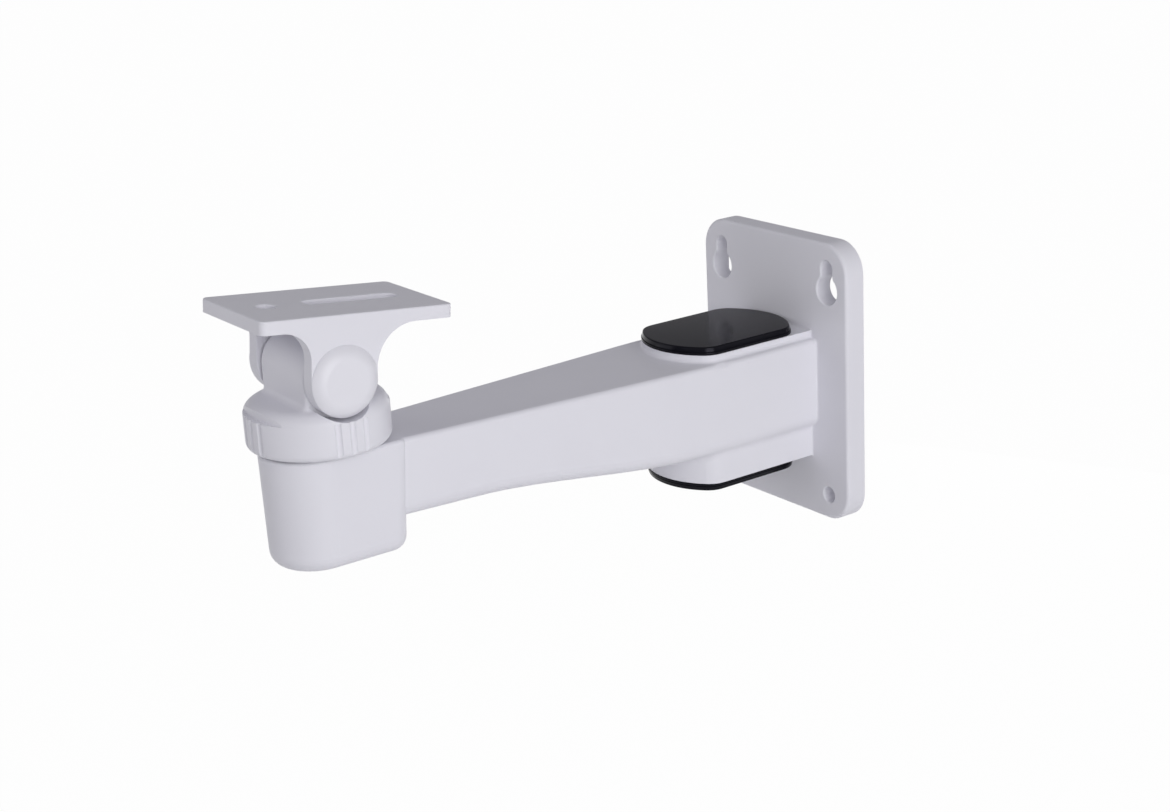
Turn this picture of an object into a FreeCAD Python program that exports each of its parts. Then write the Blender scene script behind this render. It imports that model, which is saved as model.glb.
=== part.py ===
import FreeCAD, Part
import math
import os

from FreeCAD import Vector

# Camera wall bracket: a hollow cast arm with a wall plate, two cable covers
# and a swivel head whose tilting platform carries the camera.
# The origin is the middle of the wall plate's back face. +Z is up and the
# arm reaches out along -Y. All sizes are in millimetres and degrees.

# Wall plate
PLATE_WIDTH = 90.7
PLATE_HEIGHT = 120.0
PLATE_THICKNESS = 9.5
PLATE_TOP_CORNER = 13.0
PLATE_BOTTOM_CORNER = 12.5
PLATE_EDGE_ROUND = 1.4
PLATE_RIM = 5.0
PLATE_RECESS = 2.0

# Fixing holes
FIXING_SIDE_MARGIN = 11.85
FIXING_END_MARGIN = 10.75
FIXING_HOLE_DIAMETER = 6.6
KEYHOLE_ENTRY_DIAMETER = 12.0
KEYHOLE_DROP = 9.3
KEYHOLE_BLEND = 2.5
HOLE_SOFTENING = 0.7

# Arm
ARM_TOP = 18.1
NECK_BOTTOM = -21.0
ARM_BOTTOM = -13.2
NECK_WIDTH = 54.0
ARM_END_WIDTH = 33.0
TAPER_START = 62.0
TAPER_BEND = 350.0
UNDERSIDE_CURVE_START = 72.0
UNDERSIDE_CURVE_END = 172.0
UNDERSIDE_CURVE_SPANS = 3
ARM_TOP_ROUND = 2.0
ARM_BOTTOM_ROUND = 6.0
CASTING_WALL = 3.5

# Cable openings in the neck and their covers
COVER_WIDTH = 45.8
COVER_LENGTH = 60.6
COVER_OFFSET = 11.4
COVER_CORNER = 9.5
COVER_CROWN = 30.0
COVER_FLANGE = 1.0
COVER_FLANGE_ROUND = 0.45
COVER_STEP = 0.6
COVER_THICKNESS = 1.3
COVER_EDGE_ROUND = 1.1
COVER_SKIRT_DEPTH = 5.0
COVER_SKIRT_WALL = 1.6
SEAL_THICKNESS = 0.5
SEAL_INSET = 0.6
COLLAR_HEIGHT = 3.1
BOSS_DEPTH = 12.8
COLLAR_INSET = -0.5
COLLAR_BASE_ROUND = 1.5
BOSS_BASE_ROUND = 4.0
PLATE_JUNCTION_ROUND = 0.8
OPENING_INSET = 4.0
CLIP_WIDTH = 6.0
CLIP_HOOK = 1.0
CLIP_HOOK_HEIGHT = 2.2
CLIP_SPACING = 20.0
CLIP_GAP = 0.2

# Cup at the arm's end
PAN_AXIS_REACH = 228.5
CUP_WIDTH = 36.4
CUP_LENGTH = 49.8
CUP_OUTER_REACH = 23.5
CUP_TOP = 18.4
CUP_BOTTOM = -25.4
CUP_DRAFT_SIDE = 0.7
CUP_DRAFT_BACK = 0.5
CUP_BACK_CORNER = 2.5
CUP_BACK_CORNER_LOW = 7.5
CUP_BOTTOM_ROUND = 6.0
CUP_TOP_ROUND = 1.5
CUP_DECK = 5.0
CUP_FLOOR = 4.0
ACCESS_HOLE_DIAMETER = 20.0

# Pan pivot
PAN_BOLT_DIAMETER = 8.0
PAN_BOLT_HEAD_DIAMETER = 13.0
PAN_BOLT_HEAD_HEIGHT = 8.0
PAN_BOLT_SOCKET = 6.0
PAN_BOLT_SOCKET_DEPTH = 4.5
PAN_BOLT_ENGAGEMENT = 15.0
PAN_WASHER_DIAMETER = 16.0
PAN_WASHER_THICKNESS = 1.6
SPRING_WASHER_DIAMETER = 14.2
SPRING_WASHER_THICKNESS = 2.0
SPRING_WASHER_SPLIT = 1.2
PAN_DISC_DIAMETER = 32.0
PAN_DISC_THICKNESS = 1.0

# Swivel head
HEAD_DIAMETER = 53.5
HEAD_LEDGE = 33.3
HEAD_LEDGE_REACH = 24.4
HEAD_LEDGE_BOW = 46.0
HEAD_SHOULDER_TOP = 37.4
HEAD_SHOULDER_INSET = 5.5
HEAD_SHOULDER_RISE = 5.0
HEAD_BOTTOM_ROUND = 3.0
HEAD_HOLLOW_TOP = 29.0
HEAD_WALL = 3.6
TONGUE_WIDTH = 34.0
TONGUE_LENGTH = 25.0
TONGUE_FOOT_ROUND = 2.5
TONGUE_EDGE_ROUND = 1.5
FLUTE_GROUPS = 4
FLUTES_IN_GROUP = 3
FLUTE_PITCH = 12.0
FLUTE_RADIUS = 1.5
FLUTE_DEPTH = 0.75

# Tilt pivot
TILT_AXIS_HEIGHT = 47.5
TILT_AT_REST = 6.2
TILT_BOLT_DIAMETER = 6.0
TILT_BOLT_HEAD_DIAMETER = 10.5
TILT_BOLT_HEAD_HEIGHT = 3.3
TILT_BOLT_SOCKET = 4.0
TILT_BOLT_SOCKET_DEPTH = 2.0
TILT_NUT_FLATS = 10.0
TILT_NUT_HEIGHT = 3.2
TILT_WASHER_DIAMETER = 12.0
TILT_WASHER_THICKNESS = 1.2
TILT_DISC_DIAMETER = 22.0
TILT_DISC_THICKNESS = 1.2
TILT_CAP_DIAMETER = 26.4
TILT_CAP_HEIGHT = 3.0
TILT_CAP_ROUND = 2.3
TILT_CAP_SHELL = 1.3
TILT_CAP_SPIGOT_WALL = 1.0
TILT_CAP_SPIGOT_DEPTH = 2.0
EAR_POCKET_DIAMETER = 15.0
EAR_POCKET_DEPTH = 3.0

# Camera platform
PLATFORM_LENGTH = 76.8
PLATFORM_WIDTH = 48.0
PLATFORM_THICKNESS = 5.0
PLATFORM_TOP_ABOVE_PIVOT = 24.2
PLATFORM_OUTER_REACH = 32.5
PLATFORM_CORNER = 2.5
PLATFORM_EDGE_ROUND = 0.6
EAR_OUTER_BLEND = 11.0
EAR_INNER_BLEND = 15.3
CAMERA_HOLE_REACH = 18.6
CAMERA_HOLE_DIAMETER = 7.0
CAMERA_SLOT_WIDTH = 7.5
CAMERA_SLOT_OUTER_END = 4.0
CAMERA_SLOT_LENGTH = 38.4

# Clearances
RUNNING_GAP = 0.1
FIT_GAP = 0.05
SWING_GAP = 1.3
SKIRT_GAP = 0.2

# Directions
X_AXIS = Vector(1, 0, 0)
Y_AXIS = Vector(0, 1, 0)
Z_AXIS = Vector(0, 0, 1)
FULL_TURN = 360.0
HEX_SIDES = 6
ROUND_REACH = 0.5523
OVERRUN = 1.0

# Places that follow from the sizes
FIXING_SPACING_X = PLATE_WIDTH - 2 * FIXING_SIDE_MARGIN
FIXING_SPACING_Z = PLATE_HEIGHT - 2 * FIXING_END_MARGIN
COLLAR_TOP = ARM_TOP + COLLAR_HEIGHT
BOSS_BOTTOM = NECK_BOTTOM - BOSS_DEPTH
CLIP_CATCH = COLLAR_HEIGHT + CASTING_WALL
CUP_OUTER_END = -PAN_AXIS_REACH - CUP_OUTER_REACH
CUP_BACK = CUP_OUTER_END + CUP_LENGTH
HEAD_BOTTOM = CUP_TOP + PAN_DISC_THICKNESS + 2 * RUNNING_GAP
DECK_BOTTOM = CUP_TOP - CUP_DECK
HEAD_AXIS = Vector(0, -PAN_AXIS_REACH, 0)
PIVOT = Vector(0, -PAN_AXIS_REACH, TILT_AXIS_HEIGHT)
EAR_INNER = TONGUE_WIDTH / 2 + TILT_DISC_THICKNESS + 2 * RUNNING_GAP
EAR_OUTER = PLATFORM_WIDTH / 2
EAR_FLOOR = EAR_OUTER - EAR_POCKET_DEPTH


def line(a, b):
    return Part.LineSegment(a, b).toShape()


def arc(a, b, c):
    return Part.Arc(a, b, c).toShape()


def curve(poles):
    """A smooth curve that leaves its first point and reaches its last along its poles."""
    bezier = Part.BezierCurve()
    bezier.setPoles(poles)
    return bezier.toShape()


def face_of(edges):
    return Part.Face(Part.Wire(edges))


def arc_about(centre, radius, start, end, point):
    """An arc from one angle to another, placed by a function of two coordinates."""
    angles = (start, (start + end) / 2, end)
    ends = [point(centre[0] + radius * math.cos(t), centre[1] + radius * math.sin(t)) for t in angles]
    return arc(*ends)


def edges_at(shape, test):
    """The edges whose every vertex and middle pass a test."""
    found = []
    for edge in shape.Edges:
        middle = edge.valueAt((edge.FirstParameter + edge.LastParameter) / 2)
        points = [vertex.Point for vertex in edge.Vertexes] + [middle]
        if all(test(point) for point in points):
            found.append(edge)
    return found


def near(value, target, slack=0.01):
    return abs(value - target) < slack


def soften(shape, test, radius):
    return shape.makeFillet(radius, edges_at(shape, test))


def join(first, second, radius):
    """Fuses two parts of a casting and fills the corner where they meet outside the wall plate."""
    joined = first.fuse(second)
    meeting = first.section(second)
    seam = []
    for edge in joined.Edges:
        middle = Part.Vertex(edge.valueAt((edge.FirstParameter + edge.LastParameter) / 2))
        if middle.Y < -PLATE_RECESS - OVERRUN and near(middle.distToShape(meeting)[0], 0.0):
            seam.append(edge)
    return joined.makeFillet(radius, seam)


def hole_rims(shape, test):
    """The rims of the holes in the flat faces whose every corner passes a test."""
    found = []
    for face in shape.Faces:
        if all(test(vertex.Point) for vertex in face.Vertexes):
            for wire in face.Wires:
                if not wire.isSame(face.OuterWire):
                    found += wire.Edges
    return found


def cylinder(radius, height, base, direction=Z_AXIS):
    return Part.makeCylinder(radius, height, base, direction)


def tube(outer, inner, height, base, direction=Z_AXIS):
    return cylinder(outer, height, base, direction).cut(cylinder(inner, height, base, direction))


def rounded_rectangle(width, bottom, top, bottom_corner, top_corner, point):
    """A rectangle about the first axis, with its own radius at the top and the bottom."""
    half = width / 2
    quarter = math.pi / 2
    corners = (
        (half - bottom_corner, bottom + bottom_corner, bottom_corner, -quarter),
        (half - top_corner, top - top_corner, top_corner, 0.0),
        (top_corner - half, top - top_corner, top_corner, quarter),
        (bottom_corner - half, bottom + bottom_corner, bottom_corner, 2 * quarter),
    )
    arcs = []
    for first, second, radius, start in corners:
        arcs.append(arc_about((first, second), radius, start, start + quarter, point))
    edges = []
    for index, corner in enumerate(arcs):
        following = arcs[(index + 1) % len(arcs)]
        edges.append(corner)
        edges.append(line(corner.Vertexes[-1].Point, following.Vertexes[0].Point))
    return face_of(edges)


def on_wall(y):
    """Places a point of the wall plate's own plane at a depth along Y."""
    return lambda x, z: Vector(x, y, z)


def on_level(z):
    """Places a point of a level plane at a height."""
    return lambda x, y: Vector(x, y, z)


def oval(inset, z):
    """The cable openings' outline: straight sides, round corners and bowed ends."""
    point = on_level(z)
    half = COVER_WIDTH / 2 - inset
    corner = COVER_CORNER - inset / 2
    crown = COVER_CROWN - inset
    middle = -COVER_OFFSET - COVER_LENGTH / 2
    reach = COVER_LENGTH / 2 - inset
    crown_centre = reach - crown
    corner_rise = math.sqrt((crown - corner) ** 2 - (half - corner) ** 2)
    corner_centre = crown_centre + corner_rise
    lean = math.atan2(corner_rise, half - corner)
    edges = []
    for side in (1, -1):
        def place(x, y, side=side):
            return point(side * x, middle + side * y)
        edges.append(arc_about((half - corner, corner_centre), corner, 0.0, lean, place))
        edges.append(arc_about((0.0, crown_centre), crown, lean, math.pi - lean, place))
        edges.append(arc_about((corner - half, corner_centre), corner, math.pi - lean, math.pi, place))
        edges.append(line(place(-half, corner_centre), place(-half, -corner_centre)))
    return face_of(edges)


def wall_plate():
    face = rounded_rectangle(PLATE_WIDTH, -PLATE_HEIGHT / 2, PLATE_HEIGHT / 2,
                             PLATE_BOTTOM_CORNER, PLATE_TOP_CORNER, on_wall(-PLATE_THICKNESS))
    plate = face.extrude(Y_AXIS * PLATE_THICKNESS)
    front = edges_at(plate, lambda p: near(p.y, -PLATE_THICKNESS))
    plate = plate.makeFillet(PLATE_EDGE_ROUND, front)
    recess = rounded_rectangle(PLATE_WIDTH - 2 * PLATE_RIM,
                               PLATE_RIM - PLATE_HEIGHT / 2, PLATE_HEIGHT / 2 - PLATE_RIM,
                               PLATE_BOTTOM_CORNER - PLATE_RIM, PLATE_TOP_CORNER - PLATE_RIM,
                               on_wall(-PLATE_RECESS))
    plate = plate.cut([recess.extrude(Y_AXIS * (PLATE_RECESS + OVERRUN))] + fixing_holes())
    rims = hole_rims(plate, lambda p: near(p.y, -PLATE_THICKNESS))
    return plate.makeFillet(HOLE_SOFTENING, rims)


def keyhole(x):
    """A round entry for a screw head with a narrow seat above it."""
    seat_radius = FIXING_HOLE_DIAMETER / 2
    entry_radius = KEYHOLE_ENTRY_DIAMETER / 2
    seat_z = FIXING_SPACING_Z / 2
    entry_z = seat_z - KEYHOLE_DROP
    blend_x = seat_radius + KEYHOLE_BLEND
    blend_z = math.sqrt((entry_radius + KEYHOLE_BLEND) ** 2 - blend_x ** 2)
    lean = math.atan2(blend_z, blend_x)
    edges = []

    def place(u, w):
        return Vector(x + u, -PLATE_THICKNESS - OVERRUN, w)

    edges.append(arc_about((0.0, seat_z), seat_radius, 0.0, math.pi, place))
    edges.append(line(place(-seat_radius, seat_z), place(-seat_radius, entry_z + blend_z)))
    edges.append(arc_about((-blend_x, entry_z + blend_z), KEYHOLE_BLEND, 0.0, -lean, place))
    edges.append(arc_about((0.0, entry_z), entry_radius, math.pi - lean, 2 * math.pi + lean, place))
    edges.append(arc_about((blend_x, entry_z + blend_z), KEYHOLE_BLEND, math.pi + lean, math.pi, place))
    edges.append(line(place(seat_radius, entry_z + blend_z), place(seat_radius, seat_z)))
    return face_of(edges).extrude(Y_AXIS * (PLATE_THICKNESS + 2 * OVERRUN))


def fixing_holes():
    cutters = []
    for side in (-1, 1):
        x = side * FIXING_SPACING_X / 2
        cutters.append(keyhole(x))
        start = Vector(x, -PLATE_THICKNESS - OVERRUN, -FIXING_SPACING_Z / 2)
        cutters.append(cylinder(FIXING_HOLE_DIAMETER / 2, PLATE_THICKNESS + 2 * OVERRUN, start, Y_AXIS))
    return cutters


def arm_plan(inset, start, end):
    """The arm seen from above: a straight neck that bends gently into a taper to the cup."""
    neck = NECK_WIDTH / 2 - inset
    tip = ARM_END_WIDTH / 2 - inset
    slope = (neck - tip) / (-CUP_BACK - TAPER_START)
    turn = math.atan(slope)
    bend = TAPER_START - TAPER_BEND * math.tan(turn / 2)
    end_half = neck - slope * (end - TAPER_START)
    bottom = BOSS_BOTTOM - OVERRUN
    edges = []
    for side in (1, -1):
        def place(half, reach, side=side):
            return Vector(side * half, -reach, bottom)
        bow = arc_about((neck - TAPER_BEND, bend), TAPER_BEND, 0.0, turn, place)
        edges += [
            line(place(0.0, start), place(neck, start)),
            line(place(neck, start), place(neck, bend)),
            bow,
            line(bow.Vertexes[-1].Point, place(end_half, end)),
            line(place(end_half, end), place(0.0, end)),
        ]
    outline = Part.Wire(Part.__sortEdges__(edges))
    return Part.Face(outline).extrude(Z_AXIS * (ARM_TOP - bottom + OVERRUN))


def arm_side(inset, start, end):
    """The arm seen from the side: level on top, with a long S-curve underneath."""
    reach = NECK_WIDTH
    top = ARM_TOP - inset
    deep = NECK_BOTTOM + inset
    shallow = ARM_BOTTOM + inset
    run = (UNDERSIDE_CURVE_END - UNDERSIDE_CURVE_START) / UNDERSIDE_CURVE_SPANS

    def place(distance, z):
        return Vector(-reach, -distance, z)

    underside = curve([
        place(UNDERSIDE_CURVE_START, deep),
        place(UNDERSIDE_CURVE_START + run, deep),
        place(UNDERSIDE_CURVE_END - run, shallow),
        place(UNDERSIDE_CURVE_END, shallow),
    ])
    edges = [
        line(place(start, top), place(start, deep)),
        line(place(start, deep), place(UNDERSIDE_CURVE_START, deep)),
        underside,
        line(place(UNDERSIDE_CURVE_END, shallow), place(end, shallow)),
        line(place(end, shallow), place(end, top)),
        line(place(end, top), place(start, top)),
    ]
    return face_of(edges).extrude(X_AXIS * 2 * reach)


def arm_body():
    start = PLATE_RECESS
    end = -CUP_BACK + CASTING_WALL
    body = arm_plan(0.0, start, end).common(arm_side(0.0, start, end))

    def along(point_test):
        def test(edge):
            a, b = edge.Vertexes[0].Point, edge.Vertexes[-1].Point
            return abs(a.y - b.y) > CASTING_WALL and point_test(a) and point_test(b)
        return test

    top = [edge for edge in body.Edges if along(lambda p: near(p.z, ARM_TOP))(edge)]
    body = body.makeFillet(ARM_TOP_ROUND, top)
    low = [edge for edge in body.Edges if along(lambda p: p.z < ARM_BOTTOM + OVERRUN)(edge)]
    return body.makeFillet(ARM_BOTTOM_ROUND, low)


def arm_hollow():
    start = -OVERRUN
    end = -CUP_BACK + 2 * CASTING_WALL
    hollow = arm_plan(CASTING_WALL, start, end).common(arm_side(CASTING_WALL, start, end))
    rounds = edges_at(hollow, lambda p: p.z < ARM_BOTTOM + CASTING_WALL + OVERRUN)
    rounds = [edge for edge in rounds if abs(edge.Vertexes[0].Y - edge.Vertexes[-1].Y) > CASTING_WALL]
    return hollow.makeFillet(ARM_BOTTOM_ROUND - CASTING_WALL, rounds)


def neck_pad(base, top):
    """The oval rim round a cable opening, which runs back to the wall plate."""
    pad = oval(COLLAR_INSET, base).extrude(Z_AXIS * (top - base))
    half = COVER_WIDTH / 2 - COLLAR_INSET
    depth = COVER_OFFSET + COVER_LENGTH / 2 - PLATE_RECESS
    root = Part.makeBox(2 * half, depth, abs(top - base),
                        Vector(-half, -PLATE_RECESS - depth, min(base, top)))
    return pad.fuse(root).removeSplitter()


def cup_outline(z, side_draft, back_draft, corner):
    half = CUP_WIDTH / 2 - side_draft
    back = CUP_BACK - back_draft
    centre = CUP_OUTER_END + CUP_WIDTH / 2
    point = on_level(z)
    quarter = math.pi / 2
    edges = [
        line(point(half, centre), point(half, back - corner)),
        arc_about((half - corner, back - corner), corner, 0.0, quarter, point),
        line(point(half - corner, back), point(corner - half, back)),
        arc_about((corner - half, back - corner), corner, quarter, 2 * quarter, point),
        line(point(-half, back - corner), point(-half, centre)),
    ]
    tip = point(0.0, centre - half)
    edges.append(arc(point(-half, centre), tip, point(half, centre)))
    return Part.Wire(edges)


def cup_body():
    top = cup_outline(CUP_TOP, 0.0, 0.0, CUP_BACK_CORNER)
    bottom = cup_outline(CUP_BOTTOM, CUP_DRAFT_SIDE, CUP_DRAFT_BACK, CUP_BACK_CORNER_LOW)
    body = Part.makeLoft([bottom, top], True, True)
    body = body.makeFillet(CUP_BOTTOM_ROUND, edges_at(body, lambda p: near(p.z, CUP_BOTTOM)))
    return body.makeFillet(CUP_TOP_ROUND, edges_at(body, lambda p: near(p.z, CUP_TOP)))


def cup_hollow():
    half = CUP_WIDTH / 2 - CUP_DRAFT_SIDE - CASTING_WALL
    outer = CUP_OUTER_END + CUP_DRAFT_SIDE + CASTING_WALL
    back = CUP_BACK - CUP_DRAFT_BACK - CASTING_WALL
    floor = CUP_BOTTOM + CUP_FLOOR
    point = on_level(floor)
    centre = outer + half
    edges = [
        arc(point(-half, centre), point(0.0, outer), point(half, centre)),
        line(point(half, centre), point(half, back)),
        line(point(half, back), point(-half, back)),
        line(point(-half, back), point(-half, centre)),
    ]
    return face_of(edges).extrude(Z_AXIS * (DECK_BOTTOM - floor))


def arm_casting():
    """Wall plate, neck, arm and cup: one hollow casting that carries the cable."""
    collar = neck_pad(ARM_TOP - ARM_TOP_ROUND - OVERRUN, COLLAR_TOP)
    boss = neck_pad(BOSS_BOTTOM, NECK_BOTTOM + ARM_BOTTOM_ROUND)
    arm = join(arm_body(), collar, COLLAR_BASE_ROUND)
    arm = join(arm, boss, BOSS_BASE_ROUND)
    arm = join(arm, wall_plate(), PLATE_JUNCTION_ROUND)
    body = arm.fuse(cup_body())
    opening = oval(OPENING_INSET, BOSS_BOTTOM - OVERRUN)
    shaft = opening.extrude(Z_AXIS * (COLLAR_TOP - BOSS_BOTTOM + 2 * OVERRUN))
    access = cylinder(ACCESS_HOLE_DIAMETER / 2, CUP_FLOOR + 2 * OVERRUN,
                      HEAD_AXIS + Z_AXIS * (CUP_BOTTOM - OVERRUN))
    bolt_hole = cylinder(PAN_BOLT_DIAMETER / 2 + RUNNING_GAP, CUP_DECK + 2 * OVERRUN,
                         HEAD_AXIS + Z_AXIS * (DECK_BOTTOM - OVERRUN))
    return body.cut([arm_hollow(), shaft, cup_hollow(), access, bolt_hole] + clip_catches())


def clip_places():
    """Where the clips stand: a side of the opening and the start of the clip along it."""
    middle = -COVER_OFFSET - COVER_LENGTH / 2
    starts = [middle + end * CLIP_SPACING / 2 - CLIP_WIDTH / 2 for end in (-1, 1)]
    return [(side, start) for side in (-1, 1) for start in starts]


def clips(seat_z, direction):
    """Snap clips that run on from the skirt and hook behind the opening's edge."""
    outer = COVER_WIDTH / 2 - OPENING_INSET - SKIRT_GAP
    inner = outer - COVER_SKIRT_WALL
    root = COVER_SKIRT_DEPTH - OVERRUN
    hook = CLIP_CATCH + CLIP_GAP
    end = hook + CLIP_HOOK_HEIGHT
    solids = []
    for side, start in clip_places():
        profile = [(inner, root), (outer, root), (outer, hook), (outer + CLIP_HOOK, hook),
                   (outer, end), (inner, end)]
        points = [Vector(side * x, start, seat_z - direction * depth) for x, depth in profile]
        solids.append(Part.Face(Part.makePolygon(points + points[:1])).extrude(Y_AXIS * CLIP_WIDTH))
    return solids


def clip_catches():
    """Pockets in the lower opening's wall that the lower cover's clips hook into."""
    wall = COVER_WIDTH / 2 - OPENING_INSET
    depth = CLIP_HOOK + SKIRT_GAP
    height = CLIP_HOOK_HEIGHT + 2 * CLIP_GAP
    pockets = []
    for side, start in clip_places():
        corner = Vector(min(side * (wall - OVERRUN), side * (wall + depth)), start - CLIP_GAP,
                        BOSS_BOTTOM + CLIP_CATCH)
        pockets.append(Part.makeBox(depth + OVERRUN, CLIP_WIDTH + 2 * CLIP_GAP, height, corner))
    return pockets


def cover(seat_z, direction):
    """A moulded cover with a skirt and four snap clips, built outwards from its seal."""
    base = seat_z + direction * SEAL_THICKNESS
    step = base + direction * COVER_FLANGE
    top = step + direction * COVER_THICKNESS
    flange = oval(0.0, base).extrude(Z_AXIS * direction * COVER_FLANGE)
    flange = soften(flange, lambda p: near(p.z, base) or near(p.z, step), COVER_FLANGE_ROUND)
    plate = oval(COVER_STEP, step).extrude(Z_AXIS * direction * COVER_THICKNESS)
    plate = soften(plate, lambda p: near(p.z, top), COVER_EDGE_ROUND).fuse(flange)
    skirt_outer = OPENING_INSET + SKIRT_GAP
    depth = SEAL_THICKNESS + COVER_SKIRT_DEPTH
    skirt = oval(skirt_outer, base).extrude(Z_AXIS * -direction * depth)
    well = oval(skirt_outer + COVER_SKIRT_WALL, base).extrude(Z_AXIS * -direction * (depth + OVERRUN))
    return plate.fuse([skirt.cut(well)] + clips(seat_z, direction)).removeSplitter()


def seal(seat_z, direction):
    """A flat rubber ring that the cover presses on the rim of its opening."""
    ring = oval(SEAL_INSET, seat_z).extrude(Z_AXIS * direction * SEAL_THICKNESS)
    hole = oval(OPENING_INSET, seat_z - direction * OVERRUN)
    return ring.cut(hole.extrude(Z_AXIS * direction * (SEAL_THICKNESS + 2 * OVERRUN)))


def pan_disc():
    base = HEAD_AXIS + Z_AXIS * (CUP_TOP + RUNNING_GAP)
    return tube(PAN_DISC_DIAMETER / 2, PAN_BOLT_DIAMETER / 2 + RUNNING_GAP, PAN_DISC_THICKNESS, base)


def pan_washer():
    base = HEAD_AXIS + Z_AXIS * (DECK_BOTTOM - RUNNING_GAP - PAN_WASHER_THICKNESS)
    return tube(PAN_WASHER_DIAMETER / 2, PAN_BOLT_DIAMETER / 2 + FIT_GAP, PAN_WASHER_THICKNESS, base)


def pan_spring_washer():
    top = DECK_BOTTOM - RUNNING_GAP - PAN_WASHER_THICKNESS
    base = HEAD_AXIS + Z_AXIS * (top - SPRING_WASHER_THICKNESS)
    ring = tube(SPRING_WASHER_DIAMETER / 2, PAN_BOLT_DIAMETER / 2 + FIT_GAP, SPRING_WASHER_THICKNESS, base)
    corner = base + Vector(0, -SPRING_WASHER_SPLIT / 2, -OVERRUN)
    split = Part.makeBox(SPRING_WASHER_DIAMETER, SPRING_WASHER_SPLIT,
                         SPRING_WASHER_THICKNESS + 2 * OVERRUN, corner)
    return ring.cut(split)


def hex_prism(flats, height, base, direction):
    """A hexagonal prism that stands on a point and points in a direction."""
    step = math.radians(FULL_TURN / HEX_SIDES)
    radius = flats / 2 / math.cos(step / 2)
    points = []
    for index in range(HEX_SIDES):
        points.append(Vector(radius * math.cos(step * index), radius * math.sin(step * index), 0))
    prism = Part.Face(Part.makePolygon(points + points[:1])).extrude(Z_AXIS * height)
    prism.Placement = FreeCAD.Placement(base, FreeCAD.Rotation(Z_AXIS, direction))
    return prism


def pan_bolt():
    """A socket-head bolt that rises through the cup's deck into the head."""
    seat = DECK_BOTTOM - RUNNING_GAP - PAN_WASHER_THICKNESS - SPRING_WASHER_THICKNESS
    top = HEAD_BOTTOM + PAN_BOLT_ENGAGEMENT
    shank = cylinder(PAN_BOLT_DIAMETER / 2, top - seat, HEAD_AXIS + Z_AXIS * seat)
    head_base = HEAD_AXIS + Z_AXIS * (seat - PAN_BOLT_HEAD_HEIGHT)
    head = cylinder(PAN_BOLT_HEAD_DIAMETER / 2, PAN_BOLT_HEAD_HEIGHT, head_base)
    socket = hex_prism(PAN_BOLT_SOCKET, PAN_BOLT_SOCKET_DEPTH, head_base, Z_AXIS)
    return head.fuse(shank).cut(socket)


def head_drum():
    """The turned form: a fluted drum and a domed shoulder with a ledge at its front and back."""
    radius = HEAD_DIAMETER / 2
    foot = HEAD_BOTTOM_ROUND
    top = HEAD_SHOULDER_TOP
    inset = HEAD_SHOULDER_INSET
    rise = HEAD_SHOULDER_RISE

    def place(r, z):
        return HEAD_AXIS + Vector(r, 0, z)

    shoulder = curve([
        place(radius, top - rise),
        place(radius, top - rise + rise * ROUND_REACH),
        place(radius - inset + inset * ROUND_REACH, top),
        place(radius - inset, top),
    ])
    edges = [
        line(place(0.0, HEAD_BOTTOM), place(radius - foot, HEAD_BOTTOM)),
        arc_about((radius - foot, HEAD_BOTTOM + foot), foot, -math.pi / 2, 0.0, place),
        line(place(radius, HEAD_BOTTOM + foot), place(radius, top - rise)),
        shoulder,
        line(place(radius - inset, top), place(0.0, top)),
        line(place(0.0, top), place(0.0, HEAD_BOTTOM)),
    ]
    turned = face_of(edges).revolve(HEAD_AXIS, Z_AXIS, FULL_TURN)
    drum = turned.common(cylinder(radius + OVERRUN, HEAD_LEDGE - HEAD_BOTTOM, place(0.0, HEAD_BOTTOM)))
    shift = Y_AXIS * (HEAD_LEDGE_BOW - HEAD_LEDGE_REACH)
    above = top - HEAD_LEDGE + OVERRUN
    front = cylinder(HEAD_LEDGE_BOW, above, place(0.0, HEAD_LEDGE) + shift)
    back = cylinder(HEAD_LEDGE_BOW, above, place(0.0, HEAD_LEDGE) - shift)
    return drum.cut(flutes()).fuse(turned.common(front).common(back))


def tongue():
    """The upright between the ears: a slab with a round top and soft edges."""
    half = TONGUE_LENGTH / 2
    low = HEAD_LEDGE
    x = -TONGUE_WIDTH / 2

    def place(y, z):
        return Vector(x, y - PAN_AXIS_REACH, z)

    edges = [
        line(place(-half, low), place(half, low)),
        line(place(half, low), place(half, TILT_AXIS_HEIGHT)),
        arc_about((0.0, TILT_AXIS_HEIGHT), half, 0.0, math.pi, place),
        line(place(-half, TILT_AXIS_HEIGHT), place(-half, low)),
    ]
    slab = face_of(edges).extrude(X_AXIS * TONGUE_WIDTH)
    rim = []
    for edge in slab.Edges:
        on_side = near(abs(edge.CenterOfMass.x), TONGUE_WIDTH / 2)
        if on_side and edge.BoundBox.ZMax > low + OVERRUN:
            rim.append(edge)
    return slab.makeFillet(TONGUE_EDGE_ROUND, rim)


def flutes():
    """Finger flutes in groups of three at the head's front, back and sides."""
    cutters = []
    radius = HEAD_DIAMETER / 2 + FLUTE_RADIUS - FLUTE_DEPTH
    middle = (FLUTES_IN_GROUP - 1) / 2
    for group in range(FLUTE_GROUPS):
        for flute in range(FLUTES_IN_GROUP):
            angle = math.radians(group * FULL_TURN / FLUTE_GROUPS + (flute - middle) * FLUTE_PITCH)
            base = HEAD_AXIS + Vector(radius * math.cos(angle), radius * math.sin(angle),
                                      HEAD_BOTTOM - OVERRUN)
            cutters.append(cylinder(FLUTE_RADIUS, HEAD_LEDGE - HEAD_BOTTOM + 2 * OVERRUN, base))
    return cutters


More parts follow.
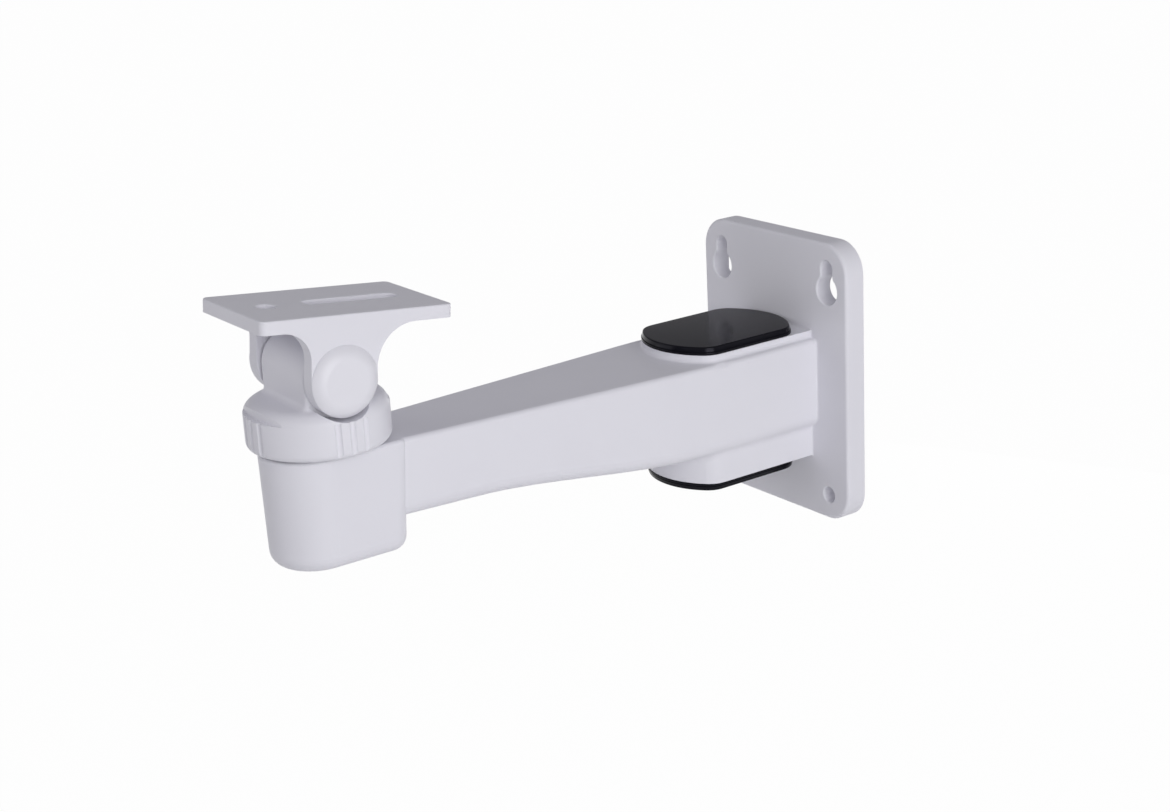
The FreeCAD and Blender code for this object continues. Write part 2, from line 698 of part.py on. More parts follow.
def swivel_head():
    """Drum, shoulder and tongue: one casting that turns on the cup."""
    radius = HEAD_DIAMETER / 2
    body = join(head_drum(), tongue(), TONGUE_FOOT_ROUND)
    scoops = []
    swing = TILT_CAP_DIAMETER / 2 + SWING_GAP
    for side in (-1, 1):
        start = PIVOT + X_AXIS * side * (TONGUE_WIDTH / 2)
        scoops.append(cylinder(swing, radius, start, X_AXIS * side))
    body = body.cut(scoops)
    hub = PAN_DISC_DIAMETER / 2
    hollow = tube(radius - HEAD_WALL, hub, HEAD_HOLLOW_TOP - HEAD_BOTTOM + OVERRUN,
                  HEAD_AXIS + Z_AXIS * (HEAD_BOTTOM - OVERRUN))
    thread = cylinder(PAN_BOLT_DIAMETER / 2, PAN_BOLT_ENGAGEMENT + OVERRUN,
                      HEAD_AXIS + Z_AXIS * HEAD_BOTTOM)
    bore = cylinder(TILT_BOLT_DIAMETER / 2 + RUNNING_GAP, TONGUE_WIDTH,
                    PIVOT - X_AXIS * (TONGUE_WIDTH / 2), X_AXIS)
    return body.cut([hollow, thread, bore])


def at_rest(shape):
    """Leans a piece of the tilting platform to the angle that it rests at."""
    leaned = shape.copy()
    leaned.rotate(PIVOT, X_AXIS, -TILT_AT_REST)
    return leaned


def platform_point(x):
    """Places a point by its reach outwards and its height above the tilt axis."""
    return lambda reach, height: PIVOT + Vector(x, -reach, height)


def ear(x):
    """One ear: a round end at the pivot that flares into the platform's underside."""
    radius = TILT_CAP_DIAMETER / 2
    under = PLATFORM_TOP_ABOVE_PIVOT - PLATFORM_THICKNESS
    place = platform_point(x)
    outer = EAR_OUTER_BLEND
    inner = EAR_INNER_BLEND
    quarter = math.pi / 2
    top = under + PLATFORM_THICKNESS / 2
    edges = [
        arc_about((0.0, 0.0), radius, math.pi, 2 * math.pi, place),
        line(place(radius, 0.0), place(radius, under - outer)),
        arc_about((radius + outer, under - outer), outer, math.pi, quarter, place),
        line(place(radius + outer, under), place(radius + outer, top)),
        line(place(radius + outer, top), place(-radius - inner, top)),
        line(place(-radius - inner, top), place(-radius - inner, under)),
        arc_about((-radius - inner, under - inner), inner, quarter, 0.0, place),
        line(place(-radius, under - inner), place(-radius, 0.0)),
    ]
    return face_of(edges).extrude(X_AXIS * (EAR_OUTER - EAR_INNER))


def platform_plate():
    middle = PLATFORM_OUTER_REACH - PLATFORM_LENGTH / 2
    height = PLATFORM_TOP_ABOVE_PIVOT - PLATFORM_THICKNESS

    def place(x, along):
        return PIVOT + Vector(x, -middle - along, height)

    outline = rounded_rectangle(PLATFORM_WIDTH, -PLATFORM_LENGTH / 2, PLATFORM_LENGTH / 2,
                                PLATFORM_CORNER, PLATFORM_CORNER, place)
    plate = outline.extrude(Z_AXIS * PLATFORM_THICKNESS)
    rim = edges_at(plate, lambda p: near(p.z, PIVOT.z + PLATFORM_TOP_ABOVE_PIVOT))
    return plate.makeFillet(PLATFORM_EDGE_ROUND, rim)


def camera_slot():
    radius = CAMERA_SLOT_WIDTH / 2
    near_end = CAMERA_SLOT_OUTER_END - radius
    far_end = CAMERA_SLOT_OUTER_END - CAMERA_SLOT_LENGTH + radius
    height = PLATFORM_TOP_ABOVE_PIVOT - PLATFORM_THICKNESS - OVERRUN
    quarter = math.pi / 2

    def place(x, reach):
        return PIVOT + Vector(x, -reach, height)

    edges = [
        arc_about((0.0, near_end), radius, 0.0, 2 * quarter, place),
        line(place(-radius, near_end), place(-radius, far_end)),
        arc_about((0.0, far_end), radius, 2 * quarter, 4 * quarter, place),
        line(place(radius, far_end), place(radius, near_end)),
    ]
    return face_of(edges).extrude(Z_AXIS * (PLATFORM_THICKNESS + 2 * OVERRUN))


def camera_platform():
    """Platform plate and two ears: one casting that tilts on the head's tongue."""
    body = platform_plate().fuse([ear(EAR_INNER), ear(-EAR_OUTER)]).removeSplitter()
    under = PLATFORM_TOP_ABOVE_PIVOT - PLATFORM_THICKNESS - OVERRUN
    hole = cylinder(CAMERA_HOLE_DIAMETER / 2, PLATFORM_THICKNESS + 2 * OVERRUN,
                    PIVOT + Vector(0, -CAMERA_HOLE_REACH, under))
    cutters = [hole, camera_slot()]
    for side in (-1, 1):
        cutters.append(cylinder(EAR_POCKET_DIAMETER / 2, EAR_POCKET_DEPTH + OVERRUN,
                                PIVOT + X_AXIS * side * EAR_FLOOR, X_AXIS * side))
    cutters.append(cylinder(TILT_BOLT_DIAMETER / 2 + FIT_GAP, PLATFORM_WIDTH,
                            PIVOT - X_AXIS * EAR_OUTER, X_AXIS))
    body = body.cut(cutters)
    rims = hole_rims(body, lambda p: near(p.z, PIVOT.z + PLATFORM_TOP_ABOVE_PIVOT))
    return at_rest(body.makeFillet(HOLE_SOFTENING, rims))


def tilt_bolt():
    head_base = PIVOT + X_AXIS * EAR_FLOOR
    tail = EAR_FLOOR + TILT_WASHER_THICKNESS + TILT_NUT_HEIGHT
    shank = cylinder(TILT_BOLT_DIAMETER / 2, EAR_FLOOR + tail, PIVOT - X_AXIS * tail, X_AXIS)
    head = cylinder(TILT_BOLT_HEAD_DIAMETER / 2, TILT_BOLT_HEAD_HEIGHT, head_base, X_AXIS)
    rim = edges_at(head, lambda p: near(p.x, EAR_FLOOR + TILT_BOLT_HEAD_HEIGHT))
    head = head.makeFillet(TILT_BOLT_HEAD_HEIGHT / 2, rim)
    socket_base = head_base + X_AXIS * (TILT_BOLT_HEAD_HEIGHT - TILT_BOLT_SOCKET_DEPTH)
    socket = hex_prism(TILT_BOLT_SOCKET, TILT_BOLT_SOCKET_DEPTH + OVERRUN, socket_base, X_AXIS)
    return at_rest(head.fuse(shank).cut(socket))


def tilt_washer():
    washer = tube(TILT_WASHER_DIAMETER / 2, TILT_BOLT_DIAMETER / 2 + FIT_GAP, TILT_WASHER_THICKNESS,
                  PIVOT - X_AXIS * EAR_FLOOR, -X_AXIS)
    return at_rest(washer)


def tilt_nut():
    base = PIVOT - X_AXIS * (EAR_FLOOR + TILT_WASHER_THICKNESS)
    nut = hex_prism(TILT_NUT_FLATS, TILT_NUT_HEIGHT, base, -X_AXIS)
    bore = cylinder(TILT_BOLT_DIAMETER / 2, TILT_NUT_HEIGHT, base, -X_AXIS)
    return at_rest(nut.cut(bore))


def tilt_disc(side):
    """A friction disc between the tongue and one ear."""
    base = PIVOT + X_AXIS * side * (TONGUE_WIDTH / 2 + RUNNING_GAP)
    disc = tube(TILT_DISC_DIAMETER / 2, TILT_BOLT_DIAMETER / 2 + FIT_GAP, TILT_DISC_THICKNESS,
                base, X_AXIS * side)
    return at_rest(disc)


def tilt_cap(side):
    """A round cap that plugs the ear's pocket and hides the bolt's end."""
    outward = X_AXIS * side
    base = PIVOT + outward * EAR_OUTER
    cap = cylinder(TILT_CAP_DIAMETER / 2, TILT_CAP_HEIGHT, base, outward)
    rim = edges_at(cap, lambda p: near(abs(p.x), EAR_OUTER + TILT_CAP_HEIGHT))
    cap = cap.makeFillet(TILT_CAP_ROUND, rim)
    outer = EAR_POCKET_DIAMETER / 2 - FIT_GAP
    inner = outer - TILT_CAP_SPIGOT_WALL
    spigot = cylinder(outer, TILT_CAP_SPIGOT_DEPTH, base - outward * TILT_CAP_SPIGOT_DEPTH, outward)
    depth = TILT_CAP_SPIGOT_DEPTH + TILT_CAP_HEIGHT - TILT_CAP_SHELL
    well = cylinder(inner, depth, base - outward * TILT_CAP_SPIGOT_DEPTH, outward)
    return at_rest(cap.fuse(spigot).cut(well))


PIECES = {
    "arm_casting": arm_casting(),
    "upper_cover": cover(COLLAR_TOP, 1),
    "upper_seal": seal(COLLAR_TOP, 1),
    "lower_cover": cover(BOSS_BOTTOM, -1),
    "lower_seal": seal(BOSS_BOTTOM, -1),
    "pan_friction_disc": pan_disc(),
    "pan_washer": pan_washer(),
    "pan_spring_washer": pan_spring_washer(),
    "pan_bolt": pan_bolt(),
    "swivel_head": swivel_head(),
    "camera_platform": camera_platform(),
    "near_friction_disc": tilt_disc(1),
    "far_friction_disc": tilt_disc(-1),
    "tilt_bolt": tilt_bolt(),
    "tilt_washer": tilt_washer(),
    "tilt_nut": tilt_nut(),
    "near_tilt_cap": tilt_cap(1),
    "far_tilt_cap": tilt_cap(-1),
}

os.makedirs("parts", exist_ok=True)
for name, shape in PIECES.items():
    shape.exportStep("parts/" + name + ".step")
    box = shape.BoundBox
    print(name, shape.isValid(), len(shape.Solids), round(shape.Volume, 1),
          [round(v, 1) for v in (box.XMin, box.XMax, box.YMin, box.YMax, box.ZMin, box.ZMax)])
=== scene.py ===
import math

import bmesh
import bpy
from mathutils import Matrix, Vector


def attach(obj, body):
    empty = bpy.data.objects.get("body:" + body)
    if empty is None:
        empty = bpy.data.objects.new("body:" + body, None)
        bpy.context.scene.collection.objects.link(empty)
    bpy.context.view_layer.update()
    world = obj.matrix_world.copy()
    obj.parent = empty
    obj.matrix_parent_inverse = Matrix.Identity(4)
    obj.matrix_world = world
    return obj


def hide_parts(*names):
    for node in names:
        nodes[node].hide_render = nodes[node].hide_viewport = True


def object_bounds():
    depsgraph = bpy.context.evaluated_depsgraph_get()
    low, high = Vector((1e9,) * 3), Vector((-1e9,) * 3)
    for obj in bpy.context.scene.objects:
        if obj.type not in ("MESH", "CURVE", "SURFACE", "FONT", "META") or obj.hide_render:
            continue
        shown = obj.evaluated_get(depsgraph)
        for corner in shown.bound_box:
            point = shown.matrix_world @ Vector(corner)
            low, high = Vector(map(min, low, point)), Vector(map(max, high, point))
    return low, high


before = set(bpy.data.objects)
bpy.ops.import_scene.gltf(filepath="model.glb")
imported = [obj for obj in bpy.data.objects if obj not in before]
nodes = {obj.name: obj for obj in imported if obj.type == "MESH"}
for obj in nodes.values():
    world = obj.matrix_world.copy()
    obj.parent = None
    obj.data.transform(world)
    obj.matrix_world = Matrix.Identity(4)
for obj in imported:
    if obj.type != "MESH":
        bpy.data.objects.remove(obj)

cad_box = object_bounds()

# Viewpoint
# The photograph looks at the bracket's free side with a long lens, from a
# little above the arm, with the camera rolled a few degrees.
PHOTO_WIDTH = 1170
FOCAL_LENGTH_IN_PIXELS = 1962.9
SENSOR_WIDTH = 36.0
VIEW_AZIMUTH = math.radians(55.2)
VIEW_ELEVATION = math.radians(17.85)
VIEW_ROLL = math.radians(-3.04)
CAMERA_DISTANCE = 0.84855
AIM_RIGHT = -0.08916
AIM_UP = -0.01865


def aim_camera():
    towards = Vector((math.sin(VIEW_AZIMUTH) * math.cos(VIEW_ELEVATION),
                      -math.cos(VIEW_AZIMUTH) * math.cos(VIEW_ELEVATION),
                      math.sin(VIEW_ELEVATION)))
    level = Vector((math.cos(VIEW_AZIMUTH), math.sin(VIEW_AZIMUTH), 0.0))
    upright = towards.cross(level)
    right = level * math.cos(VIEW_ROLL) + upright * math.sin(VIEW_ROLL)
    up = upright * math.cos(VIEW_ROLL) - level * math.sin(VIEW_ROLL)
    place = right * AIM_RIGHT + up * AIM_UP + towards * CAMERA_DISTANCE
    lens = bpy.data.cameras.new("view")
    lens.sensor_width = SENSOR_WIDTH
    lens.lens = FOCAL_LENGTH_IN_PIXELS * SENSOR_WIDTH / PHOTO_WIDTH
    camera = bpy.data.objects.new("view", lens)
    turn = Matrix((right, up, towards)).transposed().to_4x4()
    camera.matrix_world = Matrix.Translation(place) @ turn
    bpy.context.scene.collection.objects.link(camera)
    bpy.context.scene.camera = camera


aim_camera()


# Arm casting
# Wall plate, neck, arm and cup are one aluminium die casting, shot-blasted and
# finished in white powder coat, which flows into a fine orange peel.
COAT_WHITE = (0.805, 0.800, 0.852, 1.0)
COAT_SHADE = (0.782, 0.777, 0.830, 1.0)
COAT_ROUGHNESS = (0.40, 0.50)
COAT_SPECULAR = 0.34
COAT_GLAZE = 0.06
COAT_GLAZE_ROUGHNESS = 0.30
PEEL_SIZE = 0.0009
PEEL_HEIGHT = 0.000012
GRAIN_SIZE = 0.00022
GRAIN_HEIGHT = 0.000004
CLOUD_SIZE = 0.03


def new_material(name):
    material = bpy.data.materials.new(name)
    material.use_nodes = True
    tree = material.node_tree
    shader = tree.nodes["Principled BSDF"]
    place = tree.nodes.new("ShaderNodeTexCoord")
    return material, tree, shader, place.outputs["Object"]


def noise(tree, place, size, detail=2.0):
    cloud = tree.nodes.new("ShaderNodeTexNoise")
    cloud.inputs["Scale"].default_value = 1.0 / size
    cloud.inputs["Detail"].default_value = detail
    tree.links.new(place, cloud.inputs["Vector"])
    return cloud.outputs["Fac"]


def blend_colours(tree, amount, first, second):
    mix = tree.nodes.new("ShaderNodeMix")
    mix.data_type = "RGBA"
    mix.inputs["A"].default_value = first
    mix.inputs["B"].default_value = second
    tree.links.new(amount, mix.inputs["Factor"])
    return mix.outputs["Result"]


def span(tree, amount, low, high):
    scale = tree.nodes.new("ShaderNodeMapRange")
    scale.inputs["To Min"].default_value = low
    scale.inputs["To Max"].default_value = high
    tree.links.new(amount, scale.inputs["Value"])
    return scale.outputs["Result"]


def bump(tree, height, depth, under=None):
    relief = tree.nodes.new("ShaderNodeBump")
    relief.inputs["Distance"].default_value = depth
    tree.links.new(height, relief.inputs["Height"])
    if under is not None:
        tree.links.new(under, relief.inputs["Normal"])
    return relief.outputs["Normal"]


def powder_coat(name):
    material, tree, shader, place = new_material(name)
    cloud = noise(tree, place, CLOUD_SIZE)
    colour = blend_colours(tree, cloud, COAT_WHITE, COAT_SHADE)
    tree.links.new(colour, shader.inputs["Base Color"])
    tree.links.new(span(tree, cloud, *COAT_ROUGHNESS), shader.inputs["Roughness"])
    peel = bump(tree, noise(tree, place, PEEL_SIZE), PEEL_HEIGHT)
    grain = bump(tree, noise(tree, place, GRAIN_SIZE), GRAIN_HEIGHT, peel)
    tree.links.new(grain, shader.inputs["Normal"])
    shader.inputs["Specular IOR Level"].default_value = COAT_SPECULAR
    shader.inputs["Coat Weight"].default_value = COAT_GLAZE
    shader.inputs["Coat Roughness"].default_value = COAT_GLAZE_ROUGHNESS
    return material


def finish_node(name, material):
    node = nodes[name]
    for slot in node.material_slots:
        slot.material = material


white_coat = powder_coat("white_powder_coat")
finish_node("arm_casting", white_coat)


# Cable covers
# Two black mouldings clip over the neck's openings. Each is a flat lid with a
# stepped rim, polished by its tool, with a skirt and four clips underneath.
COVER_PLAN = {"width": 0.0462, "length": 0.0632, "start": 0.0096}
OPENING_PLAN = {"width": 0.0458, "length": 0.0606, "start": 0.0114}
OVAL_CORNER = 0.0095
OVAL_CROWN = 0.0300
CORNER_STEPS = 10
CROWN_STEPS = 26
COVER_SEATS = {"upper_cover": 0.0212, "lower_cover": -0.0338}
# The rim's lower part from its foot up, as insets and heights above the seat.
RIM_FOOT = ((0.00045, 0.00050), (0.00045, 0.00004), (0.00010, 0.00004), (0.00003, 0.00010),
            (0.0, 0.00020))
RIM_STEP = ((0.0, 0.00090), (0.00004, 0.00102), (0.00014, 0.00108), (0.00052, 0.00110),
            (0.00056, 0.00116), (0.00056, 0.00132), (0.00050, 0.00140), (0.00034, 0.00142),
            (0.00030, 0.00148))
RIM_EDGE_INSET = 0.00065
RIM_EDGE_WIDTH = 0.00065
RIM_EDGE_DROP = 0.00060
RIM_EDGE_STEPS = 10
COVER_HEIGHT = 0.00330
SKIRT_INSET = 0.0042
SKIRT_WALL = 0.0016
SKIRT_DEPTH = 0.0050
SEAL_HEIGHT = 0.0005
CLIP_WIDTH = 0.0060
CLIP_SPACING = 0.0200
CLIP_HOOK = 0.0010
CLIP_CATCH = 0.0068
CLIP_TIP = 0.0090
CLIP_OVERLAP = 0.0010
SHARP_ANGLE = math.radians(32.0)
COVER_BLACK = (0.0040, 0.0040, 0.0062, 1.0)
COVER_GREY = (0.0075, 0.0075, 0.0105, 1.0)
COVER_ROUGHNESS = (0.13, 0.19)
COVER_CLOUD = 0.012
COVER_GRAIN_SIZE = 0.0005
COVER_GRAIN_HEIGHT = 0.000003
COVER_SPECULAR = 0.10
COVER_SHEEN_TINT = (0.86, 0.84, 1.0, 1.0)


def oval_ring(plan, inset, height):
    """An oval drawn in by an inset: straight sides, round corners and bowed ends."""
    corner = OVAL_CORNER - inset / 2
    crown = OVAL_CROWN - inset
    middle = -plan["start"] - plan["length"] / 2
    bow = plan["length"] / 2 - inset - crown
    across = plan["width"] / 2 - inset - corner
    along = math.sqrt((crown - corner) ** 2 - across ** 2)
    lean = math.atan2(along, across)
    quarter = []
    for step in range(CORNER_STEPS + 1):
        turn = lean * step / CORNER_STEPS
        quarter.append((across + corner * math.cos(turn),
                        bow + along + corner * math.sin(turn)))
    for step in range(1, CROWN_STEPS + 1):
        turn = lean + (math.pi / 2 - lean) * step / CROWN_STEPS
        quarter.append((crown * math.cos(turn), bow + crown * math.sin(turn)))
    half = quarter + [(-x, y) for x, y in reversed(quarter[:-1])]
    outline = half + [(-x, -y) for x, y in half]
    return [Vector((x, middle + y, height)) for x, y in outline]


def loft(shape, rings):
    """A closed skin through rings of equally many points, with flat ends."""
    loops = [[shape.verts.new(point) for point in ring] for ring in rings]
    for low, high in zip(loops, loops[1:]):
        for index in range(len(low)):
            after = (index + 1) % len(low)
            shape.faces.new((low[index], low[after], high[after], high[index]))
    shape.faces.new(loops[0])
    shape.faces.new(loops[-1])


def plain_piece(shape, name, material):
    """Turn finished mesh code into an object with smooth curves and crisp edges."""
    bmesh.ops.recalc_face_normals(shape, faces=shape.faces)
    mesh = bpy.data.meshes.new(name)
    shape.to_mesh(mesh)
    shape.free()
    mesh.shade_smooth()
    mesh.set_sharp_from_angle(angle=SHARP_ANGLE)
    mesh.materials.append(material)
    piece = bpy.data.objects.new(name, mesh)
    bpy.context.scene.collection.objects.link(piece)
    return piece


def hand_over(piece, body, node):
    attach(piece, body)
    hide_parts(node)


def rim_edge():
    """The rounding from the rim's side to the lid, as insets and heights."""
    turns = [math.pi / 2 * step / RIM_EDGE_STEPS for step in range(RIM_EDGE_STEPS + 1)]
    return tuple((RIM_EDGE_INSET + RIM_EDGE_WIDTH * (1.0 - math.cos(turn)),
                  COVER_HEIGHT - RIM_EDGE_DROP * (1.0 - math.sin(turn))) for turn in turns)


def clip(shape, seat, out, side, start):
    """One hooked clip that runs on from the skirt."""
    outer = OPENING_PLAN["width"] / 2 - SKIRT_INSET
    inner = outer - SKIRT_WALL
    root = SKIRT_DEPTH - CLIP_OVERLAP
    profile = ((inner, root), (outer, root), (outer, CLIP_CATCH),
               (outer + CLIP_HOOK, CLIP_CATCH), (outer, CLIP_TIP), (inner, CLIP_TIP))
    loft(shape, [[Vector((side * x, y, seat - out * depth)) for x, depth in profile]
                 for y in (start, start + CLIP_WIDTH)])


def cover(name, seat, material):
    """Lid, stepped rim and skirt as one skin from the top down, and the four clips."""
    out = math.copysign(1.0, seat)
    rim = RIM_FOOT + RIM_STEP + rim_edge()
    skirt = ((SKIRT_INSET, SEAL_HEIGHT), (SKIRT_INSET, -SKIRT_DEPTH),
             (SKIRT_INSET + SKIRT_WALL, -SKIRT_DEPTH), (SKIRT_INSET + SKIRT_WALL, SEAL_HEIGHT))
    levels = [(COVER_PLAN, inset, height) for inset, height in reversed(rim)]
    levels += [(OPENING_PLAN, inset, height) for inset, height in skirt]
    shape = bmesh.new()
    loft(shape, [oval_ring(plan, inset, seat + out * height) for plan, inset, height in levels])
    middle = -OPENING_PLAN["start"] - OPENING_PLAN["length"] / 2
    for side in (-1.0, 1.0):
        for end in (-1.0, 1.0):
            clip(shape, seat, out, side, middle + (end * CLIP_SPACING - CLIP_WIDTH) / 2)
    return plain_piece(shape, name + "_moulding", material)


def moulded_black():
    material, tree, shader, place = new_material("moulded_black")
    cloud = noise(tree, place, COVER_CLOUD)
    colour = blend_colours(tree, cloud, COVER_BLACK, COVER_GREY)
    tree.links.new(colour, shader.inputs["Base Color"])
    tree.links.new(span(tree, cloud, *COVER_ROUGHNESS), shader.inputs["Roughness"])
    grain = bump(tree, noise(tree, place, COVER_GRAIN_SIZE), COVER_GRAIN_HEIGHT)
    tree.links.new(grain, shader.inputs["Normal"])
    shader.inputs["Specular IOR Level"].default_value = COVER_SPECULAR
    shader.inputs["Specular Tint"].default_value = COVER_SHEEN_TINT
    return material


black_plastic = moulded_black()
for name, seat in COVER_SEATS.items():
    finish_node(name, black_plastic)
    hand_over(cover(name, seat, black_plastic), "arm", name)


# Cover seals
# Flat rings punched from black rubber sheet, matt and slightly dusty, which
# the covers press onto the rims of the openings.
RUBBER_BLACK = (0.012, 0.012, 0.012, 1.0)
RUBBER_DUST = (0.035, 0.035, 0.036, 1.0)
RUBBER_ROUGHNESS = (0.70, 0.85)
RUBBER_GRAIN_SIZE = 0.0006
RUBBER_GRAIN_DETAIL = 4.0
RUBBER_GRAIN_HEIGHT = 0.00002


def rubber_sheet():
    material, tree, shader, place = new_material("rubber_sheet")
    dust = noise(tree, place, RUBBER_GRAIN_SIZE, RUBBER_GRAIN_DETAIL)
    colour = blend_colours(tree, dust, RUBBER_BLACK, RUBBER_DUST)
    tree.links.new(colour, shader.inputs["Base Color"])
    tree.links.new(span(tree, dust, *RUBBER_ROUGHNESS), shader.inputs["Roughness"])
    tree.links.new(bump(tree, dust, RUBBER_GRAIN_HEIGHT), shader.inputs["Normal"])
    return material


rubber = rubber_sheet()
for name in ("upper_seal", "lower_seal"):
    finish_node(name, rubber)


# Friction discs
# Rings of pressed pale fibre between cup and head and between tongue and
# ears. They let the pivots turn stiffly and stay where they are put.
FIBRE_DARK = (0.50, 0.49, 0.48, 1.0)
FIBRE_LIGHT = (0.66, 0.65, 0.65, 1.0)
FIBRE_ROUGHNESS = 0.85
FIBRE_SIZE = 0.0009
FIBRE_DETAIL = 6.0
FIBRE_HEIGHT = 0.00004


def pressed_fibre():
    material, tree, shader, place = new_material("pressed_fibre")
    strands = noise(tree, place, FIBRE_SIZE, FIBRE_DETAIL)
    colour = blend_colours(tree, strands, FIBRE_DARK, FIBRE_LIGHT)
    tree.links.new(colour, shader.inputs["Base Color"])
    tree.links.new(bump(tree, strands, FIBRE_HEIGHT), shader.inputs["Normal"])
    shader.inputs["Roughness"].default_value = FIBRE_ROUGHNESS
    return material


fibre = pressed_fibre()
for name in ("pan_friction_disc", "near_friction_disc", "far_friction_disc"):
    finish_node(name, fibre)


# Swivel head and camera platform
# Two more die castings in the same powder coat: the head pans on the cup, and
# the platform tilts on the head's tongue.
for name in ("swivel_head", "camera_platform"):
    finish_node(name, white_coat)


# Tilt caps
# Round caps of white moulded plastic that plug the ears and hide the ends of
# the tilt bolt. They are domed at the rim and a shade smoother than the coat.
CAP_RADIUS = 0.0132
CAP_HEIGHT = 0.0030
CAP_SEAT = 0.0240
CAP_FACE_RADIUS = 0.0085
CAP_FACE_MARGIN = 0.0003
CAP_EDGE_TURNS = (math.radians(8.0), math.radians(52.0))
CAP_EDGE_STEPS = 14
CAP_SPIGOT_RADIUS = 0.00745
CAP_SPIGOT_WALL = 0.0010
CAP_SPIGOT_DEPTH = 0.0020
CAP_SHELL = 0.0013
TURNED_STEPS = 96
PAN_AXIS_REACH = 0.2285
TILT_AXIS_HEIGHT = 0.0475
TILT_PIVOT = Vector((0.0, -PAN_AXIS_REACH, TILT_AXIS_HEIGHT))
CAP_WHITE = (0.812, 0.807, 0.856, 1.0)
CAP_SHADE = (0.790, 0.785, 0.836, 1.0)
CAP_ROUGHNESS = (0.36, 0.44)
CAP_CLOUD = 0.02
CAP_GRAIN_SIZE = 0.0004
CAP_GRAIN_HEIGHT = 0.000003


def turned_ring(base, axis, radius, height):
    """One ring of a turned shape, at a height along its axis."""
    side = axis.orthogonal().normalized()
    up = axis.cross(side)
    ring = []
    for step in range(TURNED_STEPS):
        turn = 2.0 * math.pi * step / TURNED_STEPS
        outwards = side * math.cos(turn) + up * math.sin(turn)
        ring.append(base + axis * height + outwards * radius)
    return ring


def cap_profile():
    """Radius and height from the face over the domed rim to the inside of the spigot."""
    flat, steep = CAP_EDGE_TURNS
    dome = (CAP_RADIUS - CAP_FACE_RADIUS) / (math.sin(steep) - math.sin(flat))
    profile = [(CAP_FACE_RADIUS - CAP_FACE_MARGIN, CAP_HEIGHT)]
    for step in range(CAP_EDGE_STEPS + 1):
        turn = flat + (steep - flat) * step / CAP_EDGE_STEPS
        profile.append((CAP_FACE_RADIUS + dome * (math.sin(turn) - math.sin(flat)),
                        CAP_HEIGHT - dome * (math.cos(flat) - math.cos(turn))))
    well = CAP_SPIGOT_RADIUS - CAP_SPIGOT_WALL
    return profile + [(CAP_RADIUS, 0.0), (CAP_SPIGOT_RADIUS, 0.0),
                      (CAP_SPIGOT_RADIUS, -CAP_SPIGOT_DEPTH), (well, -CAP_SPIGOT_DEPTH),
                      (well, CAP_HEIGHT - CAP_SHELL)]


def tilt_cap(name, side, material):
    axis = Vector((side, 0.0, 0.0))
    base = TILT_PIVOT + axis * CAP_SEAT
    shape = bmesh.new()
    loft(shape, [turned_ring(base, axis, radius, height) for radius, height in cap_profile()])
    return plain_piece(shape, name + "_moulding", material)


def moulded_white():
    material, tree, shader, place = new_material("moulded_white")
    cloud = noise(tree, place, CAP_CLOUD)
    colour = blend_colours(tree, cloud, CAP_WHITE, CAP_SHADE)
    tree.links.new(colour, shader.inputs["Base Color"])
    tree.links.new(span(tree, cloud, *CAP_ROUGHNESS), shader.inputs["Roughness"])
    grain = bump(tree, noise(tree, place, CAP_GRAIN_SIZE), CAP_GRAIN_HEIGHT)
    tree.links.new(grain, shader.inputs["Normal"])
    return material


white_plastic = moulded_white()
for name, side in (("near_tilt_cap", 1.0), ("far_tilt_cap", -1.0)):
    finish_node(name, white_plastic)
    hand_over(tilt_cap(name, side, white_plastic), "platform", name)


# Bolts, nut and washers
# Steel fasteners, cold headed or stamped, with rolled threads, and zinc plated.
# The pan bolt's knurled head shows in the cup from below; the caps hide the rest.
HEX_SIDES = 6
PAN_AXIS = Vector((0.0, -PAN_AXIS_REACH, 0.0))
UPRIGHT = Vector((0.0, 0.0, 1.0))
SIDEWAYS = Vector((1.0, 0.0, 0.0))
PAN_BOLT = {"foot": 0.0097, "facing": -1.0, "head": 0.0080, "head_radius": 0.00635,
            "radius": 0.0040, "length": 0.0249, "socket": 0.0060, "socket_depth": 0.0045,
            "chamfer": 0.0007}
PAN_THREAD = {"Radius": 0.00352, "Depth": 0.00046, "Pitch": 0.00125, "Length": 0.0130,
              "Start": 0.0212}
KNURL = {"Radius": 0.00628, "Ridges": 60, "Ridge": 0.00022, "Height": 0.0066, "Start": 0.0025}
TILT_BOLT = {"foot": 0.0210, "facing": 1.0, "head": 0.0033, "head_radius": 0.00525,
             "radius": 0.0030, "length": 0.0464, "socket": 0.0040, "socket_depth": 0.0020,
             "chamfer": 0.0014}
TILT_THREAD = {"Radius": 0.00262, "Depth": 0.00036, "Pitch": 0.0010, "Length": 0.0116,
               "Start": -0.0250}
THREAD_TURN_STEPS = 28
THREAD_SIDES = 3
KNURL_RIDGE_SIDES = 4
ZINC_LIGHT = (0.62, 0.62, 0.60, 1.0)
ZINC_DARK = (0.46, 0.46, 0.45, 1.0)
ZINC_ROUGHNESS = (0.26, 0.42)
ZINC_CLOUD = 0.004
ZINC_CLOUD_DETAIL = 4.0
ZINC_GRAIN_SIZE = 0.0005
ZINC_GRAIN_HEIGHT = 0.00001


def zinc_plate():
    material, tree, shader, place = new_material("zinc_plate")
    cloud = noise(tree, place, ZINC_CLOUD, ZINC_CLOUD_DETAIL)
    colour = blend_colours(tree, cloud, ZINC_LIGHT, ZINC_DARK)
    tree.links.new(colour, shader.inputs["Base Color"])
    tree.links.new(span(tree, cloud, *ZINC_ROUGHNESS), shader.inputs["Roughness"])
    grain = bump(tree, noise(tree, place, ZINC_GRAIN_SIZE), ZINC_GRAIN_HEIGHT)
    tree.links.new(grain, shader.inputs["Normal"])
    shader.inputs["Metallic"].default_value = 1.0
    return material


